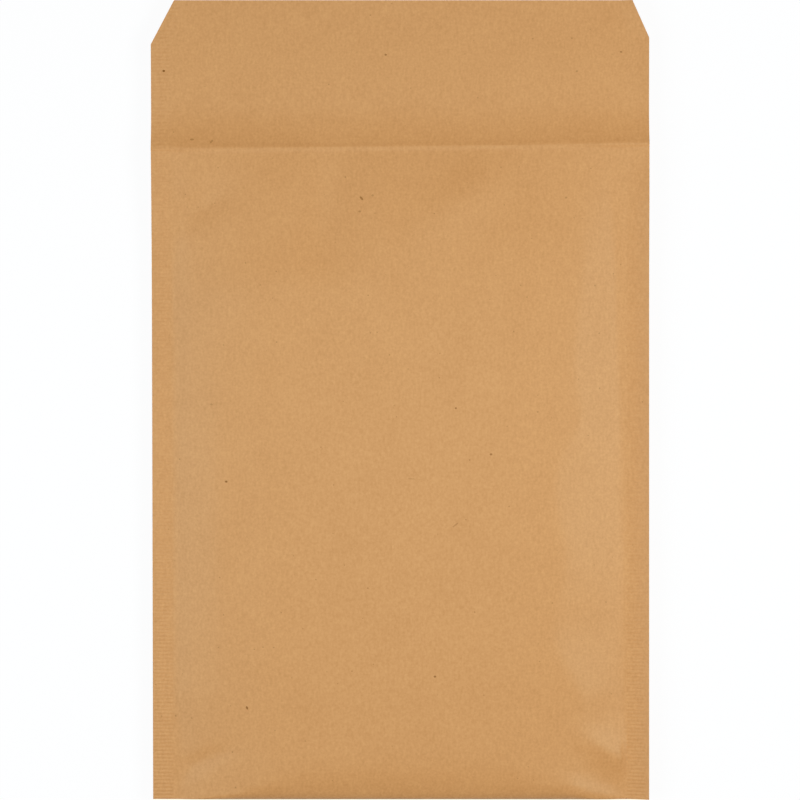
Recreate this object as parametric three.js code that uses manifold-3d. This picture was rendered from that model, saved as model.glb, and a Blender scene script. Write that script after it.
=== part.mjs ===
// Padded envelope of kraft paper with a bubble film lining, lying on its back with the flap opened out.
// Millimetres, +Z up. +Y runs from the bottom fold to the flap's tip, +X to the right as seen from above.
// The origin is under the middle of the whole outline, on the surface that the envelope lies on.

import * as THREE from 'three';
import { mergeVertices } from 'three/addons/utils/BufferGeometryUtils.js';
import Module from 'manifold-3d';

const wasm = await Module();
wasm.setup();

// Driving dimensions of the outline.
const BODY_WIDTH = 170;
const BODY_LENGTH = 224;
const FLAP_LENGTH = 49;
const LEFT_CHAMFER = { across: 8, along: 15 };
const RIGHT_CHAMFER = { across: 5.5, along: 12.8 };

// Driving dimensions of the section.
const PAPER = 0.15;
const SKIN_GAP = 0.3;
const LINING = 2.7;
const POCKET_GAP = 4.7;

// Side seals: the welded margin, its thickness, and how wide the panel's slope up from it is.
const SEAL_WIDTH = 9;
const SEAL_THICKNESS = 0.5;
const SEAL_OVERLAP = 0.1;
const SIDE_SLOPE = 24;

// Bottom fold, mouth, and the flap's drop past its crease, which leaves a way into the pocket under it.
const FOLD_DEPTH = 12;
const MOUTH_SETBACK = 2;
const MOUTH_WAY = 4.25;
const FLAP_DROP_LENGTH = 14;

// Lining: how far it stays back from the seals, the bottom fold and the mouth.
const LINING_SIDE_SETBACK = 4;
const LINING_FOLD_SETBACK = 2;
const LINING_MOUTH_SETBACK = 1.5;

// Closing strip under the flap's level part: the adhesive, and the liner that covers it with a border.
const ADHESIVE_THICKNESS = 0.1;
const LINER_THICKNESS = 0.1;
const LINER_TIP_MARGIN = 6;
const LINER_DROP_MARGIN = 3;
const LINER_SIDE_MARGIN = 2;
const LINER_BORDER = { across: 2, along: 3 };

// Facets along the curved stretches, and the first step round the bottom fold.
const SLOPE_STEPS = 5;
const FOLD_STEPS = 6;
const DROP_STEPS = 5;
const FOLD_TIP_STEP = 0.7;

// Finishes.
const KRAFT_PAPER = { color: 0xcf9d67, roughness: 0.6 };
const BUBBLE_FILM = { color: 0xe4e6e6, roughness: 0.25 };
const HOT_MELT = { color: 0xe9e2c8, roughness: 0.35 };
const RELEASE_PAPER = { color: 0xf2f1ec, roughness: 0.3 };

// Places that follow from the sizes above.
const TOTAL_LENGTH = BODY_LENGTH + FLAP_LENGTH;
const TIP_Y = TOTAL_LENGTH / 2;
const BOTTOM_Y = -TOTAL_LENGTH / 2;
const CREASE_Y = TIP_Y - FLAP_LENGTH;
const MOUTH_Y = CREASE_Y - MOUTH_SETBACK;
const SIDE_X = BODY_WIDTH / 2;
const SEAL_X = SIDE_X - SEAL_WIDTH;
const POCKET_FLOOR_Z = PAPER + SKIN_GAP + LINING;
const BODY_HEIGHT = 2 * POCKET_FLOOR_Z + POCKET_GAP;
const MID_Z = BODY_HEIGHT / 2;
const FLAP_DROP_Y = CREASE_Y + FLAP_DROP_LENGTH;
const ADHESIVE_BASE_Z = POCKET_FLOOR_Z + MOUTH_WAY + LINER_THICKNESS;
const FLAP_BASE_Z = ADHESIVE_BASE_Z + ADHESIVE_THICKNESS;
const FLAP_TOP_Z = FLAP_BASE_Z + PAPER;
const CORNER_CUT = Math.max(LEFT_CHAMFER.across, RIGHT_CHAMFER.across);
const LINER_WIDTH = BODY_WIDTH - 2 * (CORNER_CUT + LINER_SIDE_MARGIN);
const LINER_LENGTH = FLAP_LENGTH - FLAP_DROP_LENGTH - LINER_DROP_MARGIN - LINER_TIP_MARGIN;
const LINER_Y = TIP_Y - LINER_TIP_MARGIN - LINER_LENGTH / 2;

// Share of the full half height at a distance in from a side seal: a quarter sine wave.
function sideShare(distance) {
  const along = THREE.MathUtils.clamp(distance / SIDE_SLOPE, 0, 1);
  return Math.sin(along * Math.PI / 2);
}

// Share of the full half height at a distance in from the bottom fold: a quarter ellipse.
function foldShare(distance, depth) {
  const along = THREE.MathUtils.clamp(distance / depth, 0, 1);
  return Math.sqrt(1 - (1 - along) ** 2);
}

// Height above the middle plane of the skin that lies this far inside the paper's outer face.
function skinRise(x, y, inset) {
  const side = sideShare(SEAL_X - Math.abs(x));
  const fold = foldShare(y - BOTTOM_Y - inset, FOLD_DEPTH - inset);
  return BODY_HEIGHT / 2 * side * fold - inset;
}

// Paper's two faces over the body, as heights above the middle plane.
function paperOuter(x, y) {
  return Math.max(skinRise(x, y, 0), SEAL_THICKNESS / 2);
}

function paperInner(x, y) {
  return Math.max(skinRise(x, y, PAPER), -SEAL_OVERLAP / 2);
}

// The lining's two faces, as heights above the middle plane. Where it is pinched, its halves meet.
function liningOuter(x, y) {
  return skinRise(x, y, PAPER + SKIN_GAP);
}

function liningInner(x, y) {
  return Math.max(liningOuter(x, y) - LINING, -SEAL_OVERLAP / 2);
}

// How much of the body's arch is left past the crease: it falls fast at first, then runs out level.
function archLeft(y) {
  const along = THREE.MathUtils.clamp((y - CREASE_Y) / FLAP_DROP_LENGTH, 0, 1);
  return (1 - along) ** 2;
}

// A face of the front sheet: the body's arch, which settles into the level flap past the crease.
function frontFace(rise, flapHeight) {
  return (x, y) => THREE.MathUtils.lerp(flapHeight, MID_Z + rise(x, Math.min(y, CREASE_Y)), archLeft(y));
}

// Places from start to finish in equal steps, both ends kept.
function evenSteps(start, finish, steps) {
  return Array.from({ length: steps + 1 }, (_, step) => THREE.MathUtils.lerp(start, finish, step / steps));
}

// Facet lines across the envelope: the slope's lines on one side, then the same mirrored.
const slopeLines = evenSteps(SEAL_X - LINING_SIDE_SETBACK, SEAL_X - SIDE_SLOPE, SLOPE_STEPS);
const liningAcross = [...slopeLines.map((x) => -x), ...slopeLines.toReversed()];
const paperAcross = [-SIDE_X, -SEAL_X, ...liningAcross, SEAL_X, SIDE_X];

// Facet lines along the envelope: close together where the bottom fold is steep.
const foldLines = evenSteps(0, Math.PI / 2, FOLD_STEPS)
  .slice(1)
  .map((turn) => BOTTOM_Y + LINING_FOLD_SETBACK + (FOLD_DEPTH - LINING_FOLD_SETBACK) * (1 - Math.cos(turn)));
const liningAlong = [BOTTOM_Y + LINING_FOLD_SETBACK, ...foldLines, MOUTH_Y - LINING_MOUTH_SETBACK];
const bodyAlong = [BOTTOM_Y, BOTTOM_Y + FOLD_TIP_STEP, BOTTOM_Y + LINING_FOLD_SETBACK, ...foldLines];
const cornerLines = [LEFT_CHAMFER, RIGHT_CHAMFER]
  .map((chamfer) => TIP_Y - chamfer.along)
  .toSorted((first, second) => first - second);
const flapAlong = [...evenSteps(CREASE_Y, FLAP_DROP_Y, DROP_STEPS), ...cornerLines, TIP_Y];

// How far the outline is cut back at the flap's corner, at this place along the envelope.
function cornerCut(chamfer, y) {
  return chamfer.across * Math.max(0, y - (TIP_Y - chamfer.along)) / chamfer.along;
}

// The facet line's place across, with the outermost lines drawn in at the flap's cut corners.
function acrossAt(x, y) {
  if (x <= -SIDE_X) {
    return x + cornerCut(LEFT_CHAMFER, y);
  }
  return x >= SIDE_X ? x - cornerCut(RIGHT_CHAMFER, y) : x;
}

// A closed sheet between two height surfaces, faceted along the given lines.
function sheetGeometry(across, along, topHeight, bottomHeight) {
  const columns = across.length - 1;
  const rows = along.length - 1;
  const geometry = new THREE.BoxGeometry(columns, rows, 1, columns, rows, 1);
  geometry.deleteAttribute('normal');
  geometry.deleteAttribute('uv');
  const position = geometry.attributes.position;
  for (let index = 0; index < position.count; index += 1) {
    const line = across[Math.round(position.getX(index) + columns / 2)];
    const y = along[Math.round(position.getY(index) + rows / 2)];
    const x = acrossAt(line, y);
    const height = position.getZ(index) > 0 ? topHeight : bottomHeight;
    position.setXYZ(index, x, y, height(line, y));
  }
  return mergeVertices(geometry);
}

// The solid of a closed geometry, ready for joining.
function solidOf(geometry) {
  const vertProperties = Float32Array.from(geometry.attributes.position.array);
  const triVerts = Uint32Array.from(geometry.index.array);
  return new wasm.Manifold(new wasm.Mesh({ numProp: 3, vertProperties, triVerts }));
}

// Two geometries joined into one closed body.
function joined(first, second) {
  const mesh = solidOf(first).add(solidOf(second)).getMesh();
  const geometry = new THREE.BufferGeometry();
  geometry.setAttribute('position', new THREE.BufferAttribute(mesh.vertProperties, mesh.numProp));
  geometry.setIndex(new THREE.BufferAttribute(mesh.triVerts, 1));
  geometry.computeVertexNormals();
  return geometry;
}

function namedMesh(name, geometry, finish) {
  const mesh = new THREE.Mesh(geometry, new THREE.MeshStandardMaterial({ ...finish, metalness: 0 }));
  mesh.name = name;
  return mesh;
}

// One folded sheet of paper: the front panel with the flap, and the back panel that ends at the mouth.
function kraftEnvelope() {
  const front = sheetGeometry(
    paperAcross,
    [...bodyAlong, MOUTH_Y, ...flapAlong],
    frontFace(paperOuter, FLAP_TOP_Z),
    frontFace(paperInner, FLAP_BASE_Z),
  );
  const back = sheetGeometry(
    paperAcross,
    [...bodyAlong, MOUTH_Y],
    (x, y) => MID_Z - paperInner(x, y),
    (x, y) => MID_Z - paperOuter(x, y),
  );
  return namedMesh('kraft_envelope', joined(front, back), KRAFT_PAPER);
}

// One folded sheet of bubble film, clear of the paper, with the pocket between its halves.
function bubbleLining() {
  const front = sheetGeometry(
    liningAcross,
    liningAlong,
    (x, y) => MID_Z + liningOuter(x, y),
    (x, y) => MID_Z + liningInner(x, y),
  );
  const back = sheetGeometry(
    liningAcross,
    liningAlong,
    (x, y) => MID_Z - liningInner(x, y),
    (x, y) => MID_Z - liningOuter(x, y),
  );
  return namedMesh('bubble_lining', joined(front, back), BUBBLE_FILM);
}

// Peel off strip under the flap.
function releaseLiner() {
  const mesh = namedMesh(
    'release_liner',
    new THREE.BoxGeometry(LINER_WIDTH, LINER_LENGTH, LINER_THICKNESS),
    RELEASE_PAPER,
  );
  mesh.position.set(0, LINER_Y, ADHESIVE_BASE_Z - LINER_THICKNESS / 2);
  return mesh;
}

// Adhesive between the flap and the peel off strip, which stands past it all round.
function adhesiveStrip() {
  const width = LINER_WIDTH - 2 * LINER_BORDER.across;
  const length = LINER_LENGTH - 2 * LINER_BORDER.along;
  const mesh = namedMesh(
    'adhesive_strip',
    new THREE.BoxGeometry(width, length, ADHESIVE_THICKNESS),
    HOT_MELT,
  );
  mesh.position.set(0, LINER_Y, ADHESIVE_BASE_Z + ADHESIVE_THICKNESS / 2);
  return mesh;
}

const envelope = new THREE.Group();
envelope.add(kraftEnvelope(), bubbleLining(), adhesiveStrip(), releaseLiner());

export default envelope;
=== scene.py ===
"""A padded kraft envelope lying on its back, flap opened out, seen from straight above.

The paper is one flat sheet that is folded, sealed and solidified. A bubble film lining lies inside it,
and a closing strip under its flap. Sizes are in millimetres until a mesh gets its final points, which
are in metres, and X runs across the envelope, Y from its bottom fold to the flap's tip.
"""

import logging
import math
from dataclasses import dataclass, field
from enum import Enum

import bpy
import numpy as np
from bpy.types import Material, Node, NodeSocket, NodeTree, Object
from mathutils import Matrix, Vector


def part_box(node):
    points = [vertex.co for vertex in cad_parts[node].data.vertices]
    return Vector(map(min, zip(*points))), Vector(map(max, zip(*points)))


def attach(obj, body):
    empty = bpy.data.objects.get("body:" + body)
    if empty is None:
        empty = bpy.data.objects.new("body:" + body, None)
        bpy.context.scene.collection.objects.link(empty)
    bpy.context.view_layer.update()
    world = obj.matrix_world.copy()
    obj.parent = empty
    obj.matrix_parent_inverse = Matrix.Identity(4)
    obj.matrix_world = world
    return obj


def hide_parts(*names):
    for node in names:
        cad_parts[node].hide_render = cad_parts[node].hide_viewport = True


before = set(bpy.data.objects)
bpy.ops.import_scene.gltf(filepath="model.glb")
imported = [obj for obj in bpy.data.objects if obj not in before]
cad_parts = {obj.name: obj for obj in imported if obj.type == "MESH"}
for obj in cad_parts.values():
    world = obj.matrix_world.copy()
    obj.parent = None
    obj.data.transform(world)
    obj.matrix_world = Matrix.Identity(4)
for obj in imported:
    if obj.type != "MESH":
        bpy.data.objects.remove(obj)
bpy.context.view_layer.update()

MM = 0.001
BODY = "root"
SMOOTH_ANGLE = math.radians(50)
LOG = logging.getLogger("padded_envelope")


class Layer(Enum):
    """The two panels of the envelope, as the sign of their height above the middle plane."""

    FRONT = 1
    BACK = -1


class Side(Enum):
    """The two sealed sides, as the sign of their place along X."""

    LEFT = -1
    RIGHT = 1


# Mesh helpers


def deselect() -> None:
    """Leave edit mode and deselect every object, the loaded CAD nodes among them."""
    if bpy.context.object and bpy.context.object.mode != "OBJECT":
        bpy.ops.object.mode_set(mode="OBJECT")
    bpy.ops.object.select_all(action="DESELECT")


def activate(piece: Object) -> None:
    """Make one object the only selected and the active one.

    Args:
        piece: The object that the next operators act on.
    """
    deselect()
    piece.select_set(True)
    bpy.context.view_layer.objects.active = piece


def points_of(piece: Object) -> np.ndarray:
    """Read a mesh's points.

    Args:
        piece: A mesh object.

    Returns:
        One row of x, y, z for each vertex.
    """
    flat = np.zeros(len(piece.data.vertices) * 3)
    piece.data.vertices.foreach_get("co", flat)
    return flat.reshape(-1, 3)


def move_points(piece: Object, points: np.ndarray) -> None:
    """Write a mesh's points back after they were shaped.

    Args:
        piece: A mesh object.
        points: One row of x, y, z for each vertex.
    """
    piece.data.vertices.foreach_set("co", points.astype(np.float32).ravel())
    piece.data.update()


def flat_sheet(name: str, across: np.ndarray, along: np.ndarray) -> Object:
    """Add a flat grid with lines at the given places, y running backwards along the sheet.

    Args:
        name: The object's name.
        across: Places of the lines across the sheet, in millimetres.
        along: Places of the lines along the sheet, in millimetres from its first edge.

    Returns:
        The grid, in millimetres, facing up.
    """
    deselect()
    columns = len(across) - 1
    rows = len(along) - 1
    bpy.ops.mesh.primitive_grid_add(x_subdivisions=columns, y_subdivisions=rows, size=1)
    sheet = bpy.context.object
    sheet.name = name
    points = points_of(sheet)
    column = np.rint((points[:, 0] + 0.5) * columns).astype(int)
    row = np.rint((0.5 - points[:, 1]) * rows).astype(int)
    move_points(sheet, np.column_stack([across[column], -along[row], np.zeros(len(points))]))
    return sheet


def apply_modifier(piece: Object, kind: str, **settings: object) -> None:
    """Add a modifier with its settings and apply it.

    Args:
        piece: The object to change.
        kind: The modifier's type.
        **settings: The modifier's properties.
    """
    activate(piece)
    modifier = piece.modifiers.new(kind.title(), kind)
    for name, value in settings.items():
        setattr(modifier, name, value)
    bpy.ops.object.modifier_apply(modifier=modifier.name)


def smooth(piece: Object) -> None:
    """Shade a piece smooth apart from its sharp edges.

    Args:
        piece: A finished mesh object.
    """
    activate(piece)
    bpy.ops.object.shade_smooth_by_angle(angle=SMOOTH_ANGLE)


def hand_over(piece: Object, material: Material, node: str) -> None:
    """Dress a finished piece and let it stand for its CAD node.

    Args:
        piece: The finished object.
        material: Its finish.
        node: The CAD node that it replaces.
    """
    piece.data.materials.clear()
    piece.data.materials.append(material)
    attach(piece, BODY)
    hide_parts(node)
    LOG.info("%s: %d faces, stands for %s", piece.name, len(piece.data.polygons), node)


# Material helpers


def linear(colour: str) -> tuple[float, float, float, float]:
    """Turn an sRGB hex value into the linear colour that a shader takes.

    Args:
        colour: Six hex digits.

    Returns:
        Red, green, blue and an alpha of 1.
    """
    shares = [int(colour[at:at + 2], 16) / 255 for at in (0, 2, 4)]
    light = [s / 12.92 if s <= 0.04045 else ((s + 0.055) / 1.055) ** 2.4 for s in shares]
    return (*light, 1.0)


def add_node(
    tree: NodeTree, kind: str, inputs: dict[str | int, object] | None = None, **settings: object
) -> Node:
    """Add a node with its settings, its values and its links.

    Args:
        tree: The material's or world's node tree.
        kind: The node's type name without its ShaderNode prefix.
        inputs: A value or an output socket for each named or numbered input.
        **settings: The node's properties.

    Returns:
        The new node.
    """
    node = tree.nodes.new("ShaderNode" + kind)
    for name, value in settings.items():
        setattr(node, name, value)
    for name, value in (inputs or {}).items():
        if isinstance(value, NodeSocket):
            tree.links.new(value, node.inputs[name])
        else:
            node.inputs[name].default_value = value
    return node


def new_material(name: str) -> tuple[Material, NodeTree]:
    """Start a material with an empty node tree.

    Args:
        name: The material's name.

    Returns:
        The material and its tree.
    """
    material = bpy.data.materials.new(name)
    material.use_nodes = True
    material.node_tree.nodes.clear()
    return material, material.node_tree


def per_metre(size_mm: float) -> float:
    """Give the texture scale at which one pattern cell has this size in millimetres."""
    return 1 / (size_mm * MM)


# The envelope's form


@dataclass(frozen=True)
class Ripple:
    """A long soft swelling in a panel, or a hollow where its height is negative.

    Its middle, the angle of its length from X in degrees, its half length, half width and height.
    """

    x: float
    y: float
    angle: float
    length: float
    width: float
    height: float

    def at(self, x: np.ndarray, y: np.ndarray) -> np.ndarray:
        """Give the swelling's height.

        Args:
            x: Places across.
            y: Places along.

        Returns:
            Height at each place, in millimetres.
        """
        turn = math.radians(self.angle)
        along = (x - self.x) * math.cos(turn) + (y - self.y) * math.sin(turn)
        aside = (y - self.y) * math.cos(turn) - (x - self.x) * math.sin(turn)
        return self.height * np.exp(-((along / self.length) ** 2) - (aside / self.width) ** 2)


@dataclass(frozen=True)
class CutCorner:
    """A flap corner that was cut off at a slant."""

    across: float
    along: float


@dataclass(frozen=True)
class Seal:
    """A heat sealed side.

    The margin's width, where its ribs start and end in from the edge, the share of their height that is
    left at the mouth, and how far the margin's edge curls up.
    """

    width: float
    ribs_from: float
    ribs_to: float
    mouth_share: float
    curl: float


@dataclass
class EnvelopeForm:
    """Where every point of the paper lies, from its place on the flat sheet.

    A place on the sheet is x across, and s along from the flap's tip: over the flap and the front panel,
    round the bottom fold and up the back panel to the mouth.
    """

    half_width: float
    front_length: float
    height: float
    flap_length: float = 49.0
    back_length: float = 222.0
    paper: float = 0.15
    seal_thickness: float = 0.5
    # The flap: its height beyond the crease, its rise to the tip, and how far the crease slopes into it
    flap_top: float = 6.5
    flap_spring: float = 1.2
    flap_drop: float = 14.0
    # The bend where a panel leaves its seal, which is softer near the bottom fold
    seal_bend: float = 1.5
    corner_bend: float = 6.5
    corner_bend_ends: tuple[float, float] = (16.0, 36.0)
    # The side slopes: their pitch, the brow above it, and the shoulder and crown up to the middle
    steepest: float = 0.2
    brow: float = 0.35
    shoulder: float = 40.0
    crown_share: float = 0.06
    left_slope: float = 4.0
    right_foot_setback: float = 2.8
    right_foot_ends: tuple[float, float] = (-50.0, 50.0)
    slope_blend: float = 4.5
    blend_samples: int = 4
    # The bottom fold: its depth, its bluntness from above, its hips at the slopes, and its tight edge
    fold_depth: float = 12.5
    fold_bluntness: float = 1.4
    hip: float = 0.06
    tight_fold: float = 0.8
    least_share: float = 0.45
    # The crease: its slant across the envelope, and the bead pressed along it
    crease_tilt: float = 0.011
    crease_tilt_reach: float = 12.0
    crease_bead: float = 0.22
    crease_bead_width: float = 0.8
    crease_bead_setback: float = 1.0
    # The mouth: where the margins start to draw up to the crease, and the front panel to sink
    mouth_lift_reach: float = 60.0
    mouth_dip: float = 2.4
    mouth_dip_reach: float = 60.0
    # The curl of the margins, as shares on the body, at the crease and at the flap's tip
    curl_power: float = 1.5
    curl_reach: float = 20.0
    curl_shares: tuple[float, float, float] = (1.0, 0.4, 0.5)
    # The outline: how far the left edge runs askew, and how far in a cut corner draws the sheet along
    left_skew: float = 0.7
    left_stand_out: float = 0.15
    corner_reach: float = 15.0
    # The ribs crimped into the side seals
    rib_count: int = 217
    rib_height: float = 0.05
    flap_rib_share: float = 0.5
    rib_edge: float = 0.5
    seals: dict[Side, Seal] = field(
        default_factory=lambda: {
            Side.LEFT: Seal(width=7.0, ribs_from=0.0, ribs_to=7.0, mouth_share=1.0, curl=0.0),
            Side.RIGHT: Seal(width=7.6, ribs_from=1.2, ribs_to=7.6, mouth_share=0.3, curl=2.0),
        }
    )
    corners: dict[Side, CutCorner] = field(
        default_factory=lambda: {Side.LEFT: CutCorner(8.0, 15.0), Side.RIGHT: CutCorner(5.8, 12.8)}
    )
    # Places along Y, and how wide the right slope is there
    right_slope: tuple[tuple[float, float], ...] = (
        (-136, 14), (-112, 12), (-103, 12), (-89, 21), (-79, 26), (-62, 20), (-48, 20), (-34, 24),
        (-21, 22), (-7, 11), (10, 15), (34, 11.5), (51, 9.5), (78, 14), (136, 14),
    )
    ripples: dict[Layer, tuple[Ripple, ...]] = field(
        default_factory=lambda: {
            Layer.FRONT: (
                # Slack below the crease
                Ripple(21, 69, 38, 20, 9, 1.1),
                Ripple(32, 76, 0, 38, 20, -0.6),
                Ripple(-42, 38, 5, 30, 12, 0.8),
                Ripple(-26, 60, 85, 26, 7, -1.3),
                Ripple(-68, 66, 35, 12, 5, -0.9),
                Ripple(-6, 55, 92, 30, 5, 0.5),
                # The left shoulder's swelling
                Ripple(-63, -42, 90, 50, 7, 0.5),
                # Puckers in the bottom corners
                Ripple(72.3, -121, -32, 10, 4.5, 1.1),
                Ripple(72, -118, -25, 9, 9, 0.6),
                Ripple(66, -134.5, -20, 12, 3, 1.0),
                Ripple(5, -135, 0, 38, 7, -0.9),
                Ripple(-70, -124.5, 25, 11, 3, -0.55),
            ),
            Layer.BACK: (
                # Faint waves, and puckers in the bottom corners
                Ripple(20, 30, 80, 30, 14, -0.2),
                Ripple(-35, -40, 100, 40, 16, -0.18),
                Ripple(66, -120, 45, 9, 3.4, -0.5),
                Ripple(-68, -121, 135, 9, 3.4, -0.5),
            ),
        }
    )

    @property
    def middle(self) -> float:
        """Height of the middle plane, where the sealed margins lie."""
        return self.height / 2

    @property
    def tip(self) -> float:
        """Place of the flap's tip along Y."""
        return self.front_length / 2

    @property
    def crease(self) -> float:
        """Place of the flap's crease along Y."""
        return self.tip - self.flap_length

    @property
    def rib_pitch(self) -> float:
        """Distance from one seal rib to the next."""
        return self.front_length / self.rib_count

    def seal_line(self, x: np.ndarray) -> np.ndarray:
        """Give the seal's inner edge on the side where each place lies.

        Args:
            x: Places across.

        Returns:
            Distance of that side's seal line from the middle.
        """
        left = self.half_width - self.seals[Side.LEFT].width
        right = self.half_width - self.seals[Side.RIGHT].width
        return np.where(x < 0, left, right)

    def slope_foot(self, x: np.ndarray, y: np.ndarray) -> np.ndarray:
        """Give where a panel starts to climb, drawn in from the right seal towards the mouth.

        Args:
            x: Places across.
            y: Places along Y.

        Returns:
            Distance of the slope's foot from the middle.
        """
        drawn_in = np.interp(y, self.right_foot_ends, (0, self.right_foot_setback))
        return self.seal_line(x) - np.where(x < 0, 0, drawn_in)

    def slope_width(self, x: np.ndarray, y: np.ndarray) -> np.ndarray:
        """Give the width over which a panel climbs steeply from its seal.

        Args:
            x: Places across.
            y: Places along Y.

        Returns:
            The plain width on the left, and on the right a width that changes along the side.
        """
        places, widths = np.array(self.right_slope).T
        shifts = np.linspace(-self.slope_blend, self.slope_blend, self.blend_samples)
        right = np.mean([np.interp(y + shift, places, widths) for shift in shifts], axis=0)
        return np.where(x < 0, self.left_slope, right)

    def side_share(self, x: np.ndarray, y: np.ndarray) -> np.ndarray:
        """Give the share of the full height that a panel has between its seals.

        Args:
            x: Places across.
            y: Places along Y.

        Returns:
            0 at a seal, bending up into an even slope, then over a brow to a long shoulder, and
            1 in the middle.
        """
        line = self.slope_foot(x, y)
        full = self.middle - self.seal_thickness / 2
        width = self.slope_width(x, y)
        pitch = np.minimum(self.steepest, full / width)
        brow_height = pitch * width
        bend = np.interp(y + self.tip, self.corner_bend_ends, (self.corner_bend, self.seal_bend))
        climbed = np.hypot(np.clip(line - np.abs(x), 0, None), bend) - bend
        past_brow = climbed * pitch - brow_height
        below = past_brow - np.hypot(past_brow, self.brow)
        steep = (below + brow_height + np.hypot(brow_height, self.brow)) / 2
        gentle = np.sin(np.clip(climbed / self.shoulder, 0, 1) * math.pi / 2)
        slope = (steep + (full - brow_height) * gentle) / full
        crown = 1 - np.clip(np.abs(x) / line, 0, 1) ** 2
        return slope * (1 - self.crown_share) + crown * self.crown_share

    def rise(self, x: np.ndarray, y: np.ndarray, from_fold: np.ndarray, layer: np.ndarray) -> np.ndarray:
        """Give how far a panel's outer face stands off the middle plane.

        Args:
            x: Places across.
            y: Places along Y.
            from_fold: Distance along the sheet from the bottom fold.
            layer: 1 on the front panel and -1 on the back panel.

        Returns:
            Height off the middle plane, never negative.
        """
        margin = self.seal_thickness / 2
        tight = np.sin(np.clip(from_fold / self.tight_fold, 0, 1) * math.pi / 2)
        fold = np.sin(np.clip(from_fold / self.fold_depth, 0, 1) * math.pi / 2)
        side = self.side_share(x, y)
        swell = np.zeros_like(x)
        for panel, ripples in self.ripples.items():
            on_panel = layer == panel.value
            for ripple in ripples:
                swell += np.where(on_panel, ripple.at(x, y), 0)
        room = np.clip((self.slope_foot(x, y) - np.abs(x)) / self.tight_fold, 0, 1)
        least = np.clip((side + fold - np.hypot(side - fold, self.hip)) / 2, 0, None)
        plain = (self.middle - margin) * least
        return margin * tight + np.maximum(plain + swell * room * fold, plain * self.least_share)

    def lift(self, x: np.ndarray, y: np.ndarray) -> np.ndarray:
        """Give how far both layers are drawn up along the sides where they near the flap.

        Args:
            x: Places across.
            y: Places along Y.

        Returns:
            Height added to the middle plane.
        """
        along = np.clip((y - self.crease) / self.mouth_lift_reach + 1, 0, 1)
        return (self.middle - self.seal_thickness / 2) * along**2 * (1 - self.side_share(x, y))

    def curl(self, x: np.ndarray, y: np.ndarray) -> np.ndarray:
        """Give how far the sealed margins and the flap's sides curl up at their edges.

        Args:
            x: Places across.
            y: Places along Y.

        Returns:
            Height added to both layers.
        """
        places = (self.crease - self.curl_reach, self.crease, self.tip)
        share = np.interp(y, places, self.curl_shares)
        curled = np.zeros_like(x)
        for side, seal in self.seals.items():
            outward = np.clip(x * side.value - self.half_width + seal.width, 0, None) / seal.width
            curled += seal.curl * outward**self.curl_power
        return curled * share

    def dip(self, x: np.ndarray, y: np.ndarray, layer: np.ndarray) -> np.ndarray:
        """Give how far the front panel and the back panel's margins sink towards the crease.

        Args:
            x: Places across.
            y: Places along Y.
            layer: 1 on the front panel and -1 on the back panel.

        Returns:
            Height taken off the middle plane.
        """
        along = np.clip((y - self.crease) / self.mouth_dip_reach + 1, 0, 1)
        held = np.where(layer > 0, 1.0, 1 - self.side_share(x, y))
        return self.mouth_dip * along**2 * held

    def rib(self, x: np.ndarray, y: np.ndarray) -> np.ndarray:
        """Give the crimped ribs of the side seals.

        Args:
            x: Places across.
            y: Places along Y.

        Returns:
            Height that both layers are pressed up or down.
        """
        mask = np.zeros_like(x)
        for side, seal in self.seals.items():
            inward = self.half_width - x * side.value
            ramp_in = np.clip((inward - seal.ribs_from) / self.rib_edge, 0, 1)
            ramp_out = np.clip((seal.ribs_to - inward) / self.rib_edge, 0, 1)
            start = 1.0 if seal.ribs_from == 0 else ramp_in
            from_mouth = np.clip((self.crease - y) / (self.crease + self.tip), 0, 1)
            share = seal.mouth_share + (1 - seal.mouth_share) * from_mouth
            mask += np.where(x * side.value > 0, start * ramp_out * share, 0)
        fade = np.where(y > self.crease, self.flap_rib_share, 1.0)
        return self.rib_height * mask * fade * np.cos(2 * math.pi * y / self.rib_pitch)

    def outline(self, x: np.ndarray, y: np.ndarray) -> np.ndarray:
        """Draw the sheet's sides in at the flap's cut corners and along the skewed left edge.

        Args:
            x: Places across the plain rectangle.
            y: Places along Y.

        Returns:
            Places across the real outline.
        """
        start = self.half_width - self.corner_reach
        drawn = x.copy()
        for side, corner in self.corners.items():
            cut = corner.across * np.clip(y - (self.tip - corner.along), 0, None) / corner.along
            outer = np.clip(x * side.value - start, 0, None)
            drawn -= side.value * outer * cut / self.corner_reach
        skew = self.left_skew * (self.tip - y) / self.front_length - self.left_stand_out
        return drawn + np.clip(-drawn / self.half_width, 0, 1) * skew

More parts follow.
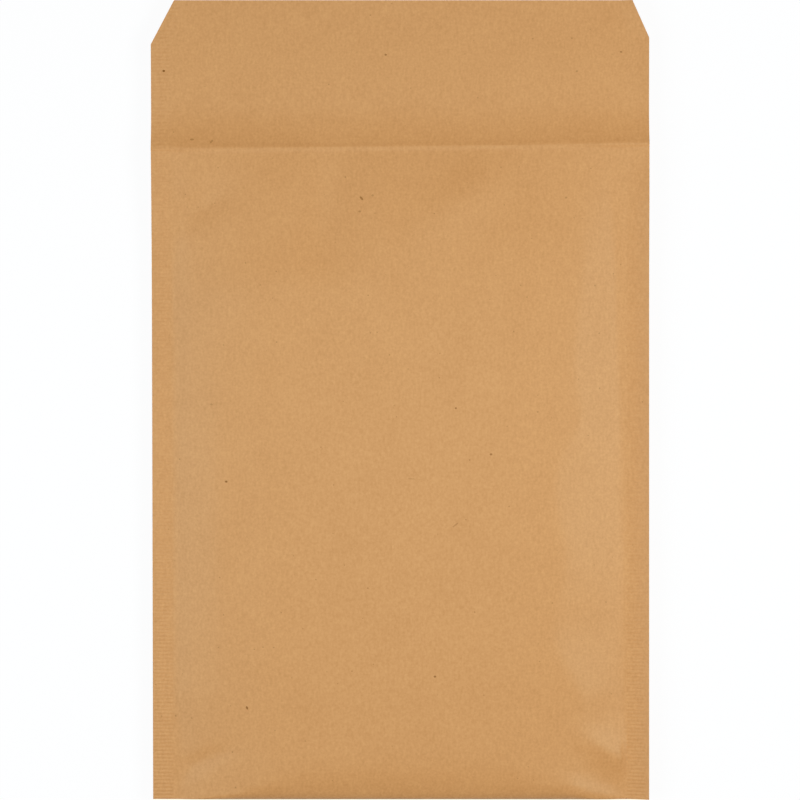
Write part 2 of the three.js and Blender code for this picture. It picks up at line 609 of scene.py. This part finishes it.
    def fold(self, x: np.ndarray, s: np.ndarray, inset: float = 0.0, slack: float = 0.0) -> np.ndarray:
        """Fold the flat sheet.

        Args:
            x: Places across the flat sheet.
            s: Places along it from the flap's tip.
            inset: How far inside the paper's outer face the points lie.
            slack: The least height off the middle plane that an inset point keeps.

        Returns:
            One row of x, y, z for each place, in millimetres.
        """
        layer = np.where(s <= self.front_length, 1, -1)
        from_fold = np.abs(s - self.front_length)
        depth = self.fold_depth - inset
        turn = np.clip(from_fold / self.fold_depth, 0, 1) * math.pi / 2
        curved = inset + depth * (1 - np.cos(turn)) ** self.fold_bluntness
        y = np.where(from_fold < self.fold_depth, curved, from_fold) - self.tip
        near_crease = np.exp(-(((y - self.crease) / self.crease_tilt_reach) ** 2))
        y = y + np.where(layer > 0, self.crease_tilt * x * near_crease, 0)
        rise = self.rise(x, y, from_fold, layer)
        if inset:
            rise = np.maximum(rise - inset, np.minimum(rise, slack))
        z = self.middle + self.lift(x, y) - self.dip(x, y, layer) + layer * rise
        crease = self.crease + self.crease_tilt * x
        bead_at = (y - crease + self.crease_bead_setback) / self.crease_bead_width
        z = z + np.where(layer > 0, self.crease_bead * np.exp(-(bead_at**2)), 0)
        left = (1 - np.clip((y - crease) / self.flap_drop, 0, 1)) ** 2
        sprung = self.flap_spring * np.clip((y - crease) / self.flap_length, 0, None)
        flap = self.flap_top - inset + sprung
        z = np.where(layer > 0, flap + left * (z - flap), z)
        z = z + self.curl(x, y) + self.rib(x, y)
        return np.column_stack([self.outline(x, y), y, z])


# Finishes


@dataclass(frozen=True)
class Mark:
    """A dark shive or fibre in the paper: its place, its darkness, and its half length and half width."""

    x: float
    y: float
    strength: float
    angle: float = 0.0
    length: float = 0.45
    width: float = 0.35


@dataclass(frozen=True)
class KraftPaper:
    """Unbleached machine glazed kraft paper: brown, flecked with fibres, with a faint sheen."""

    face_height: float
    # The brown from the palest to the deepest, where each stands in the mixed pattern, and the flecks
    pale: str = "D1995F"
    brown: str = "CA9158"
    deep: str = "C28950"
    shive: str = "824C06"
    tone_stops: tuple[float, float, float] = (0.32, 0.5, 0.68)
    ior: float = 1.47
    roughness: float = 0.45
    gloss: float = 0.32
    sheen: str = "E8FFE6"
    # The clouds, the grain and the fibres: their size, and their share in the pattern
    cloud_mm: float = 14.0
    cloud_share: float = 0.15
    grain_mm: float = 0.8
    grain_share: float = 0.5
    fibre_mm: tuple[float, float] = (0.9, 2.4)
    fibre_share: float = 0.35
    detail: float = 2.0
    fleck_cell_mm: float = 4.0
    fleck_share: float = 0.085
    fleck_strength: float = 0.4
    mark_depth_mm: float = 9.0
    grain_bump_mm: float = 0.02
    bump_strength: float = 0.2
    marks: tuple[Mark, ...] = (
        Mark(-80.7, 112.4, 1.0, length=0.5, width=0.4),
        Mark(-4.9, 117.9, 0.72),
        Mark(60.4, 112.3, 0.4),
        Mark(75.5, 118.9, 0.6),
        Mark(-13.1, 68.7, 0.7, angle=-50, length=0.8),
        Mark(-9.3, 69.7, 0.36),
        Mark(-13.7, 64.2, 0.4),
        Mark(56.6, 69.0, 0.36),
        Mark(-59.2, -27.8, 0.9),
        Mark(-64.3, -1.5, 0.34),
        Mark(-52.1, -104.8, 0.86, angle=-65, length=0.6),
        Mark(11.9, -94.1, 0.72),
        Mark(19.0, -2.8, 0.7, length=0.36, width=0.32),
        Mark(31.0, -18.5, 0.64),
        Mark(4.0, -26.8, 0.24, angle=-8, length=1.3, width=0.25),
        Mark(18.9, -42.5, 0.36, angle=38, length=1.3, width=0.25),
        Mark(-71.0, 88.9, 0.5, length=0.7),
        Mark(-64.3, 88.2, 0.4, angle=50, length=0.8),
    )

    def tone(self, tree: NodeTree, place: NodeSocket, grain: NodeSocket) -> NodeSocket:
        """Mix the sheet's brown from faint clouds of formation, fine grain and long fibres.

        Args:
            tree: The material's node tree.
            place: Object coordinates.
            grain: The fine grain's value.

        Returns:
            The colour socket.
        """
        cloud = add_node(
            tree, "TexNoise", {"Vector": place, "Scale": per_metre(self.cloud_mm), "Detail": self.detail}
        )
        wide, long = (per_metre(size) for size in self.fibre_mm)
        stretched = add_node(tree, "Mapping", {"Vector": place, "Scale": (wide, long, wide)})
        fibre = add_node(
            tree, "TexNoise", {"Vector": stretched.outputs["Vector"], "Scale": 1.0, "Detail": self.detail}
        )
        patterns = (
            (cloud.outputs["Fac"], self.cloud_share),
            (grain, self.grain_share),
            (fibre.outputs["Fac"], self.fibre_share),
        )
        mixed = 0.0
        for pattern, share in patterns:
            added = add_node(tree, "Math", {0: pattern, 1: share, 2: mixed}, operation="MULTIPLY_ADD")
            mixed = added.outputs[0]
        ramp = add_node(tree, "ValToRGB", {"Fac": mixed})
        ramp.color_ramp.elements.new(self.tone_stops[1])
        tones = zip(ramp.color_ramp.elements, self.tone_stops, (self.deep, self.brown, self.pale))
        for stop, position, colour in tones:
            stop.position = position
            stop.color = linear(colour)
        return ramp.outputs["Color"]

    def dirt(self, tree: NodeTree, place: NodeSocket) -> NodeSocket:
        """Strew small flecks at random and set the larger marks at their listed places.

        Args:
            tree: The material's node tree.
            place: Object coordinates.

        Returns:
            How dark the paper is flecked, from 0 to 1.
        """
        cell = add_node(tree, "TexVoronoi", {"Vector": place, "Scale": per_metre(self.fleck_cell_mm)})
        size = add_node(
            tree, "Math", {0: cell.outputs["Color"], 1: self.fleck_share}, operation="MULTIPLY"
        )
        dot = add_node(
            tree, "Math", {0: cell.outputs["Distance"], 1: size.outputs[0]}, operation="LESS_THAN"
        )
        dirt = add_node(tree, "Math", {0: dot.outputs[0], 1: self.fleck_strength}, operation="MULTIPLY")
        for mark in self.marks:
            local = add_node(
                tree,
                "Mapping",
                {
                    "Vector": place,
                    "Location": (mark.x * MM, mark.y * MM, self.face_height * MM),
                    "Rotation": (0, 0, math.radians(mark.angle)),
                    "Scale": (mark.length * MM, mark.width * MM, self.mark_depth_mm * MM),
                },
                vector_type="TEXTURE",
            )
            away = add_node(tree, "VectorMath", {0: local.outputs["Vector"]}, operation="LENGTH")
            spot = add_node(tree, "Math", {0: away.outputs["Value"], 1: 1.0}, operation="LESS_THAN")
            dark = add_node(tree, "Math", {0: spot.outputs[0], 1: mark.strength}, operation="MULTIPLY")
            dirt = add_node(tree, "Math", {0: dirt.outputs[0], 1: dark.outputs[0]}, operation="MAXIMUM")
        return dirt.outputs[0]

    def material(self) -> Material:
        """Make the paper.

        Returns:
            The material.
        """
        # Dried against a polished drum, unbleached kraft is an even warm brown that shows its fibres,
        # matt when seen flat, with a broad soft sheen where it tilts towards a lamp.
        material, tree = new_material("machine_glazed_kraft_paper")
        place = add_node(tree, "TexCoord").outputs["Object"]
        # The real grain is finer than a pixel, so it is drawn coarse enough to show.
        grain = add_node(
            tree, "TexNoise", {"Vector": place, "Scale": per_metre(self.grain_mm), "Detail": self.detail}
        ).outputs["Fac"]
        colour = add_node(
            tree,
            "Mix",
            {
                "Factor": self.dirt(tree, place),
                "A": self.tone(tree, place, grain),
                "B": linear(self.shive),
            },
            data_type="RGBA",
        )
        bump = add_node(
            tree,
            "Bump",
            {"Height": grain, "Strength": self.bump_strength, "Distance": self.grain_bump_mm * MM},
        )
        shader = add_node(
            tree,
            "BsdfPrincipled",
            {
                "Base Color": colour.outputs["Result"],
                "Roughness": self.roughness,
                "IOR": self.ior,
                "Specular IOR Level": self.gloss,
                "Specular Tint": linear(self.sheen),
                "Normal": bump.outputs["Normal"],
            },
        )
        add_node(tree, "OutputMaterial", {"Surface": shader.outputs["BSDF"]})
        return material


@dataclass(frozen=True)
class BubbleFilm:
    """Blown polyethylene film: milky clear, glossy, letting the paper show through."""

    tint: str = "E9ECEC"
    ior: float = 1.51
    roughness: float = 0.22
    alpha: float = 0.45
    cloud_mm: float = 6.0
    bump_mm: float = 0.1
    bump_strength: float = 0.2

    def material(self) -> Material:
        """Make the film, a little milkier in places.

        Returns:
            The material.
        """
        # Blown film is thin and glossy, so each bubble takes a small bright light, and the brown behind
        # it shows through a faint milky haze.
        material, tree = new_material("polyethylene_bubble_film")
        place = add_node(tree, "TexCoord").outputs["Object"]
        haze = add_node(tree, "TexNoise", {"Vector": place, "Scale": per_metre(self.cloud_mm)})
        bump = add_node(
            tree,
            "Bump",
            {
                "Height": haze.outputs["Fac"],
                "Strength": self.bump_strength,
                "Distance": self.bump_mm * MM,
            },
        )
        shader = add_node(
            tree,
            "BsdfPrincipled",
            {
                "Base Color": linear(self.tint),
                "Roughness": self.roughness,
                "IOR": self.ior,
                "Alpha": self.alpha,
                "Normal": bump.outputs["Normal"],
            },
        )
        add_node(tree, "OutputMaterial", {"Surface": shader.outputs["BSDF"]})
        return material


@dataclass(frozen=True)
class CoatedBand:
    """A thin coating, such as hot melt adhesive or silicone on paper: near flat and smooth."""

    name: str
    pale: str
    deep: str
    roughness: float
    mottle_mm: float
    mottle_detail: float = 3.0
    mottle_stops: tuple[float, float] = (0.3, 0.7)
    bump_mm: float = 0.05
    bump_strength: float = 0.15

    def material(self) -> Material:
        """Make the band's coating, with a faint mottle.

        Returns:
            The material.
        """
        material, tree = new_material(self.name)
        place = add_node(tree, "TexCoord").outputs["Object"]
        mottle = add_node(
            tree,
            "TexNoise",
            {"Vector": place, "Scale": per_metre(self.mottle_mm), "Detail": self.mottle_detail},
        ).outputs["Fac"]
        ramp = add_node(tree, "ValToRGB", {"Fac": mottle})
        tones = zip(ramp.color_ramp.elements, self.mottle_stops, (self.deep, self.pale))
        for stop, position, colour in tones:
            stop.position = position
            stop.color = linear(colour)
        bump = add_node(
            tree,
            "Bump",
            {"Height": mottle, "Strength": self.bump_strength, "Distance": self.bump_mm * MM},
        )
        shader = add_node(
            tree,
            "BsdfPrincipled",
            {
                "Base Color": ramp.outputs["Color"],
                "Roughness": self.roughness,
                "Normal": bump.outputs["Normal"],
            },
        )
        add_node(tree, "OutputMaterial", {"Surface": shader.outputs["BSDF"]})
        return material


# Sub-assemblies


@dataclass
class KraftSheet:
    """The paper: one flat cut sheet, folded at the bottom and the flap, and sealed along its sides.

    Rows are counted in steps, of which each seal rib takes a few.
    """

    form: EnvelopeForm
    finish: KraftPaper
    # Rows: steps in a rib, ribs in a row, close rows beside a fold, how far the puckers reach, and into
    # how many each step in the seals is split near the bottom fold
    rib_steps: int = 4
    row_ribs: int = 2
    fold_rows: tuple[int, ...] = (1, 2, 3, 5, 7, 9)
    pucker_reach: float = 30.0
    fold_split: int = 2
    snap_share: float = 0.1
    # Columns: how far in from a seal they stand close, and their counts there and in the middle
    slope_reach: float = 26.0
    slope_columns: int = 18
    middle_columns: int = 44

    @property
    def step(self) -> float:
        """Distance between two neighbouring rows of the seal's ribs."""
        return self.form.rib_pitch / self.rib_steps

    @property
    def snap(self) -> float:
        """Distance under which two places on the sheet count as the same."""
        return self.step * self.snap_share

    def across(self) -> np.ndarray:
        """Give the places of the sheet's lines across.

        Returns:
            Places from the left edge to the right, close together where the seals and slopes are.
        """
        form = self.form
        halves = {}
        for side, seal in form.seals.items():
            line = form.half_width - seal.width
            ribs = (seal.ribs_from, seal.ribs_to)
            ramps = (seal.ribs_from + form.rib_edge, seal.ribs_to - form.rib_edge)
            margin = sorted({0.0, sum(ribs) / 2, *ribs, *ramps, seal.width})
            slope = np.linspace(line, line - self.slope_reach, self.slope_columns + 1)[1:]
            halves[side] = np.concatenate([form.half_width - np.array(margin), slope])
        left = -halves[Side.LEFT]
        right = halves[Side.RIGHT][::-1]
        middle = np.linspace(left[-1], right[0], self.middle_columns + 1)[1:-1]
        return np.concatenate([left, middle, right])

    def row_numbers(self) -> np.ndarray:
        """Give the sheet's rows, counted in rib steps from the flap's tip.

        Returns:
            Row numbers, close together at the crease and round the bottom fold.
        """
        front = self.form.rib_count * self.rib_steps
        last = front + round(self.form.back_length / self.step)
        crease = round(self.form.flap_length / self.step)
        pucker = round(self.pucker_reach / self.step)
        rows = set(range(0, last, self.row_ribs * self.rib_steps)) | {last, front, crease}
        for middle in (crease, front):
            rows |= {middle - gap for gap in self.fold_rows}
            rows |= {middle + gap for gap in self.fold_rows}
        rows |= set(range(front - pucker, front + pucker, self.rib_steps))
        return np.array(sorted(rows))

    def seal_edges(self, sheet: Object, span: int, starts: np.ndarray) -> np.ndarray:
        """Find the edges of the sealed margins that run along the sheet for one whole row.

        Args:
            sheet: The flat sheet.
            span: How many steps the row takes.
            starts: Where such rows start along the sheet.

        Returns:
            True for each edge that was found.
        """
        points = points_of(sheet)
        ends = np.zeros(len(sheet.data.edges) * 2, np.int64)
        sheet.data.edges.foreach_get("vertices", ends)
        first, second = points[ends.reshape(-1, 2)].transpose(1, 0, 2)
        x = (first[:, 0] + second[:, 0]) / 2
        straight = np.abs(first[:, 0] - second[:, 0]) < self.snap
        in_seal = np.abs(x) > self.form.seal_line(x) - self.snap
        length = np.abs(first[:, 1] - second[:, 1])
        whole = np.abs(length - span * self.step) < self.snap
        top = np.minimum(-first[:, 1], -second[:, 1])
        at_start = np.abs(top[:, None] - starts[None, :]).min(axis=1) < self.snap
        return straight & in_seal & whole & at_start

    def split_seals(self, sheet: Object, rows: np.ndarray) -> None:
        """Cut the sealed margins into enough rows to hold the ribs.

        Args:
            sheet: The flat sheet.
            rows: The sheet's row numbers.
        """
        activate(sheet)
        bpy.context.tool_settings.mesh_select_mode = (False, True, False)
        spans = np.diff(rows)
        from_fold = np.abs(rows[:-1] * self.step - self.form.front_length)
        cuts = spans * np.where(from_fold < self.form.fold_depth, self.fold_split, 1) - 1
        for span, cut in sorted(set(zip(spans.tolist(), cuts.tolist()))):
            if cut == 0:
                continue
            starts = rows[:-1][(spans == span) & (cuts == cut)] * self.step
            chosen = self.seal_edges(sheet, span, starts)
            sheet.data.polygons.foreach_set("select", np.zeros(len(sheet.data.polygons), bool))
            sheet.data.vertices.foreach_set("select", np.zeros(len(sheet.data.vertices), bool))
            sheet.data.edges.foreach_set("select", chosen)
            bpy.ops.object.mode_set(mode="EDIT")
            bpy.ops.mesh.subdivide(number_cuts=cut)
            bpy.ops.object.mode_set(mode="OBJECT")

    def build(self) -> Object:
        """Cut the sheet, rib its margins, fold it and give it the paper's thickness.

        Returns:
            The finished paper.
        """
        rows = self.row_numbers()
        sheet = flat_sheet("kraft_paper_sheet", self.across(), rows * self.step)
        self.split_seals(sheet, rows)
        points = points_of(sheet)
        move_points(sheet, self.form.fold(points[:, 0], -points[:, 1]) * MM)
        apply_modifier(sheet, "SOLIDIFY", thickness=self.form.paper * MM, offset=-1.0)
        smooth(sheet)
        return sheet

    def dress(self, sheet: Object) -> None:
        """Args:
            sheet: The finished paper.
        """
        hand_over(sheet, self.finish.material(), "kraft_envelope")


@dataclass
class BubbleLining:
    """The padding: one folded sheet of film, flat towards the paper, its bubbles towards the pocket."""

    form: EnvelopeForm
    finish: BubbleFilm
    clearance: float = 0.25
    film: float = 0.05
    weld_level: float = 0.07
    edge_setback: float = 11.0
    mouth_setback: float = 1.5
    bubble_diameter: float = 10.0
    bubble_pitch: float = 11.4
    bubble_height: float = 2.7
    least_height: float = 0.6
    room_reach: float = 0.8
    middle_gap: float = 0.15
    bubble_sides: int = 14
    bubble_rings: int = 8
    shoulder: float = 0.55
    columns: int = 66
    rows: int = 180
    fill: float = 0.4

    @property
    def inset(self) -> float:
        """How far inside the paper's outer face the film's outer face lies."""
        return self.form.paper + self.clearance

    @property
    def reach(self) -> float:
        """Distance along the sheet from the bottom fold to the lining's edge at the mouth."""
        return self.form.back_length - self.mouth_setback

    def base_film(self) -> Object:
        """Fold the flat side of the film inside the paper.

        Returns:
            The film without its bubbles.
        """
        half = self.form.half_width - self.edge_setback
        start = self.form.front_length - self.reach
        across = np.linspace(-half, half, self.columns + 1)
        along = np.linspace(0, 2 * self.reach, self.rows + 1)
        film = flat_sheet("bubble_film_lining", across, along)
        points = points_of(film)
        folded = self.form.fold(points[:, 0], start - points[:, 1], self.inset, self.weld_level)
        move_points(film, folded * MM)
        apply_modifier(film, "SOLIDIFY", thickness=self.film * MM, offset=-1.0)
        return film

    def one_bubble(self) -> tuple[np.ndarray, list[list[int]]]:
        """Model a bubble of unit radius and height: a full shouldered dome, closed underneath.

        Returns:
            Its points, and the corners of its faces.
        """
        deselect()
        bpy.ops.mesh.primitive_uv_sphere_add(
            segments=self.bubble_sides, ring_count=self.bubble_rings, radius=1
        )
        bubble = bpy.context.object
        bpy.ops.object.mode_set(mode="EDIT")
        bpy.ops.mesh.select_all(action="SELECT")
        bpy.ops.mesh.bisect(plane_co=(0, 0, 0), plane_no=(0, 0, 1), clear_inner=True, use_fill=True)
        bpy.ops.object.mode_set(mode="OBJECT")
        points = points_of(bubble)
        points[:, 2] = np.clip(points[:, 2], 0, 1) ** self.shoulder
        faces = [list(face.vertices) for face in bubble.data.polygons]
        bpy.data.objects.remove(bubble)
        return points, faces

    def centres(self) -> np.ndarray:
        """Lay the bubbles out in staggered rows over both halves of the film.

        Returns:
            One row of x and s for each bubble that has room to stand.
        """
        row_gap = self.bubble_pitch * math.sqrt(3) / 2
        radius = self.bubble_diameter / 2
        places = []
        for layer in Layer:
            for row in range(int((self.reach - 2 * radius) / row_gap)):
                from_fold = radius * 2 + row * row_gap
                shift = self.bubble_pitch / 2 if row % 2 else 0.0
                count = int(self.form.half_width / self.bubble_pitch)
                for number in range(-count, count + 1):
                    places.append((number * self.bubble_pitch + shift, layer.value, from_fold))
        x, layer, from_fold = np.array(places).T
        inside = np.abs(x) < self.form.slope_foot(x, from_fold - self.form.tip) - radius
        return np.column_stack([x, self.form.front_length - layer * from_fold])[inside]

    def room(self, centres: np.ndarray) -> np.ndarray:
        """Measure how tall each bubble can stand before it meets the other half's bubbles.

        Args:
            centres: One row of x and s for each bubble.

        Returns:
            Half the gap between the halves, at its least across the bubble, less a small clearance.
        """
        inset = self.inset + self.film
        x, s = centres.T
        opposite = 2 * self.form.front_length - s
        gaps = []
        for aside in (-1, 0, 1):
            place = x + aside * self.room_reach * self.bubble_diameter / 2
            here = self.form.fold(place, s, inset, self.weld_level)[:, 2]
            there = self.form.fold(place, opposite, inset, self.weld_level)[:, 2]
            gaps.append(np.abs(here - there) / 2)
        return np.min(gaps, axis=0) - self.middle_gap

    def bubbles(self) -> Object:
        """Copy the bubble to every place, flattened where the halves pinch together.

        Returns:
            All bubbles as one mesh.
        """
        shape, faces = self.one_bubble()
        centres = self.centres()
        lift = self.inset + self.film
        height = np.minimum(self.room(centres), self.bubble_height - self.film)
        kept = height > self.least_height
        all_points, all_faces = [], []
        for (x, s), tall in zip(centres[kept], height[kept]):
            flat = shape[:, :2] * self.bubble_diameter / 2
            base = self.form.fold(x + flat[:, 0], s + flat[:, 1], lift, self.weld_level)
            inward = -1 if s <= self.form.front_length else 1
            base[:, 2] += inward * shape[:, 2] * tall
            offset = len(all_points) * len(shape)
            all_points.append(base)
            all_faces += [[corner + offset for corner in face] for face in faces]
        mesh = bpy.data.meshes.new("bubbles")
        mesh.from_pydata((np.concatenate(all_points) * MM).tolist(), [], all_faces)
        bubbles = bpy.data.objects.new("bubbles", mesh)
        bpy.context.scene.collection.objects.link(bubbles)
        activate(bubbles)
        bpy.ops.object.mode_set(mode="EDIT")
        bpy.ops.mesh.select_all(action="SELECT")
        bpy.ops.mesh.normals_make_consistent(inside=False)
        bpy.ops.object.mode_set(mode="OBJECT")
        return bubbles

    def build(self) -> Object:
        """Join the film and its bubbles.

        Returns:
            The finished lining.
        """
        film = self.base_film()
        bubbles = self.bubbles()
        activate(film)
        bubbles.select_set(True)
        bpy.ops.object.join()
        smooth(film)
        return film

    def dress(self, lining: Object) -> None:
        """Args:
            lining: The finished lining.
        """
        hand_over(lining, self.finish.material(), "bubble_lining")


@dataclass
class FlapBand:
    """A thin band under the flap that follows the flap's inner face."""

    form: EnvelopeForm
    finish: CoatedBand
    name: str
    node: str
    slot: str
    below: float
    columns: int = 60
    rows: int = 10

    def build(self) -> Object:
        """Lay the band against the flap, at its CAD node's outline and thickness.

        Returns:
            The finished band.
        """
        low, high = (np.array(corner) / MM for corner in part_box(self.node))
        across = np.linspace(low[0], high[0], self.columns + 1)
        along = np.linspace(self.form.tip - high[1], self.form.tip - low[1], self.rows + 1)
        band = flat_sheet(self.name, across, along)
        points = points_of(band)
        inset = self.form.paper + self.below
        folded = self.form.fold(points[:, 0], -points[:, 1], inset)
        folded[:, 0] = points[:, 0]
        move_points(band, folded * MM)
        apply_modifier(band, "SOLIDIFY", thickness=(high[2] - low[2]) * MM, offset=-1.0)
        smooth(band)
        return band

    def dress(self, band: Object) -> None:
        """Give the band its finish.

        Args:
            band: The finished band.
        """
        hand_over(band, self.finish.material(), self.node)


@dataclass(frozen=True)
class Softbox:
    """A square lamp that shines at the envelope's middle, its place and size in metres."""

    name: str
    place: tuple[float, float, float]
    size: float
    power: float
    colour: str

    def build(self) -> None:
        """Add the lamp and turn it to the envelope."""
        lamp = bpy.data.lights.new(self.name, "AREA")
        lamp.shape = "SQUARE"
        lamp.size = self.size
        lamp.energy = self.power
        lamp.color = linear(self.colour)[:3]
        holder = bpy.data.objects.new(self.name, lamp)
        holder.location = self.place
        holder.rotation_euler = (-Vector(self.place)).to_track_quat("-Z", "Y").to_euler()
        bpy.context.scene.collection.objects.link(holder)


@dataclass
class Studio:
    """A pale floor, soft lamps above and beside the envelope, and a camera straight above it.

    The floor's sizes are in metres. The envelope's length in the picture, and the height at which it was
    measured, set the camera's distance.
    """

    form: EnvelopeForm
    floor_size: float = 4.0
    floor_drop: float = 0.0003
    floor_colour: str = "F4F4F4"
    background_share: float = 0.92
    world_light: float = 0.15
    lens: float = 120.0
    sensor: float = 36.0
    picture_pixels: int = 800
    envelope_pixels: float = 799.7
    measured_level: float = 7.6
    lamps: tuple[Softbox, ...] = (
        Softbox("lamp_above", (0.0, 0.035, 1.25), 0.25, 3.0, "FFFFFF"),
        Softbox("lamp_right", (0.4, -0.01, 0.52), 0.25, 2.295, "F8FDFF"),
        Softbox("lamp_left", (-0.42, -0.05, 0.51), 0.4, 2.417, "E2F1FF"),
    )

    def floor_material(self) -> Material:
        """Make a matt floor that the camera sees as near white, still with the envelope's shadow.

        Returns:
            The material.
        """
        # A matt painted board, so pale that only the soft shadow tells it from the white behind.
        material, tree = new_material("pale_floor")
        matt = add_node(tree, "BsdfDiffuse", {"Color": linear(self.floor_colour)})
        white = add_node(tree, "Emission", {"Color": (1, 1, 1, 1), "Strength": 1.0})
        path = add_node(tree, "LightPath")
        seen = path.outputs["Is Camera Ray"]
        for ray in ("Is Glossy Ray", "Is Transmission Ray"):
            either = add_node(tree, "Math", {0: seen, 1: path.outputs[ray]}, operation="MAXIMUM")
            seen = either.outputs[0]
        share = add_node(tree, "Math", {0: seen, 1: self.background_share}, operation="MULTIPLY")
        mixed = add_node(
            tree,
            "MixShader",
            {0: share.outputs[0], 1: matt.outputs["BSDF"], 2: white.outputs["Emission"]},
        )
        add_node(tree, "OutputMaterial", {"Surface": mixed.outputs["Shader"]})
        return material

    def lay_floor(self) -> None:
        """Lay the floor just under the envelope."""
        deselect()
        bpy.ops.mesh.primitive_plane_add(size=self.floor_size, location=(0, 0, -self.floor_drop))
        floor = bpy.context.object
        floor.name = "floor"
        floor.data.materials.append(self.floor_material())

    def light(self) -> None:
        """Add the lamps, and a world that is white to the camera and a faint fill to the rest."""
        for lamp in self.lamps:
            lamp.build()
        world = bpy.data.worlds.new("studio")
        world.use_nodes = True
        tree = world.node_tree
        tree.nodes.clear()
        seen = add_node(tree, "LightPath").outputs["Is Camera Ray"]
        level = add_node(
            tree, "Mix", {"Factor": seen, "A": self.world_light, "B": 1.0}, data_type="FLOAT"
        )
        sky = add_node(tree, "Background", {"Color": (1, 1, 1, 1), "Strength": level.outputs["Result"]})
        add_node(tree, "OutputWorld", {"Surface": sky.outputs["Background"]})
        bpy.context.scene.world = world

    def place_camera(self) -> None:
        """Hang the camera straight above, where the envelope fills the picture as measured."""
        camera = bpy.data.cameras.new("camera")
        camera.lens = self.lens
        camera.sensor_width = self.sensor
        holder = bpy.data.objects.new("camera", camera)
        view_width = self.form.front_length * MM * self.picture_pixels / self.envelope_pixels
        distance = view_width * self.lens / self.sensor
        holder.location = (0, 0, distance + self.measured_level * MM)
        bpy.context.scene.collection.objects.link(holder)
        bpy.context.scene.camera = holder

    def build(self) -> None:
        """Set up the floor, the light and the camera."""
        self.lay_floor()
        self.light()
        self.place_camera()
        bpy.context.scene.view_settings.view_transform = "Standard"
        LOG.info("studio: %d lamps", len(self.lamps))


def main() -> None:
    """Build the paper, the lining, the closing strip and the studio, in that order."""
    logging.basicConfig(level=logging.INFO, format="%(name)s %(message)s")
    low, high = (np.array(corner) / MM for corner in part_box("kraft_envelope"))
    form = EnvelopeForm(half_width=high[0], front_length=high[1] - low[1], height=high[2])
    adhesive_low, adhesive_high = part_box("adhesive_strip")
    adhesive_thickness = (adhesive_high.z - adhesive_low.z) / MM
    # Laid down molten, hot melt sets cream coloured, shiny and a little uneven.
    hot_melt = CoatedBand(
        "hot_melt_adhesive", pale="EBE0BC", deep="E5D8B0", roughness=0.3, mottle_mm=4.0
    )
    # Rolled smooth and coated with silicone, release paper is an even white with a soft shine.
    release_paper = CoatedBand(
        "silicone_release_paper", pale="F2F0E8", deep="EFECE3", roughness=0.35, mottle_mm=2.5
    )
    parts = (
        KraftSheet(form, KraftPaper(face_height=form.height)),
        BubbleLining(form, BubbleFilm()),
        FlapBand(form, hot_melt, "adhesive_band", "adhesive_strip", "adhesive", 0.0),
        FlapBand(
            form, release_paper, "peel_off_liner", "release_liner", "release_paper", adhesive_thickness
        ),
    )
    for part in parts:
        part.dress(part.build())
    Studio(form).build()


if __name__ == "__main__":
    main()
